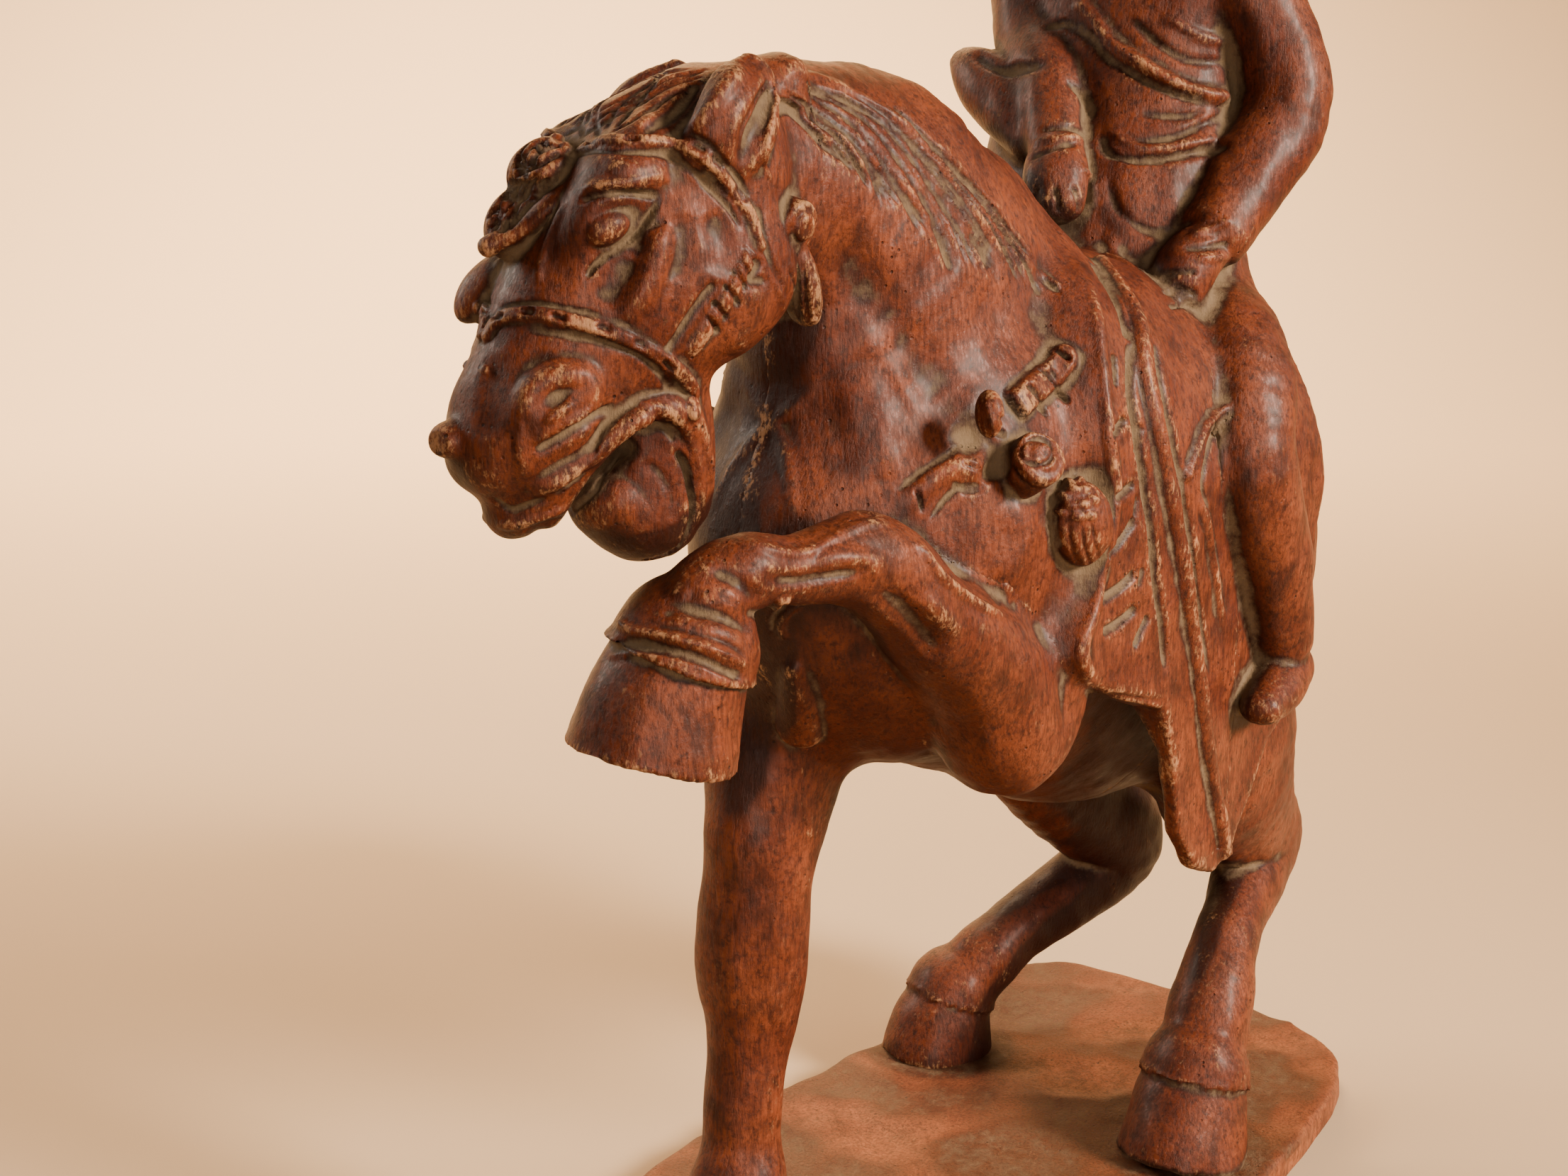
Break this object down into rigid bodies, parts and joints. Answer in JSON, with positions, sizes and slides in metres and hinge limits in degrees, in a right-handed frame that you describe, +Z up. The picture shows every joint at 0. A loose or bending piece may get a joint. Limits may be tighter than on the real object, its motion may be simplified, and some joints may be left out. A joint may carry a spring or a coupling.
{
  "type": "horse and rider figurine",
  "caption": "Fired clay figure of a prancing harnessed horse with a robed rider, modelled in one piece with its low slab base",
  "frame": {"origin": "bottom centre of the figure's box, on the underside of the slab", "axes": "+Z up, the horse faces -X, its left side is -Y"},
  "size_m": [0.3046, 0.1345, 0.364],
  "materials": {
    "clay": "red-brown fired clay with a waxed satin patina, worn pale on the high edges and dusty grey-green in the hollows"
  },
  "bodies": {
    "root": {"horse_and_rider": "clay"}
  },
  "joints": []
}
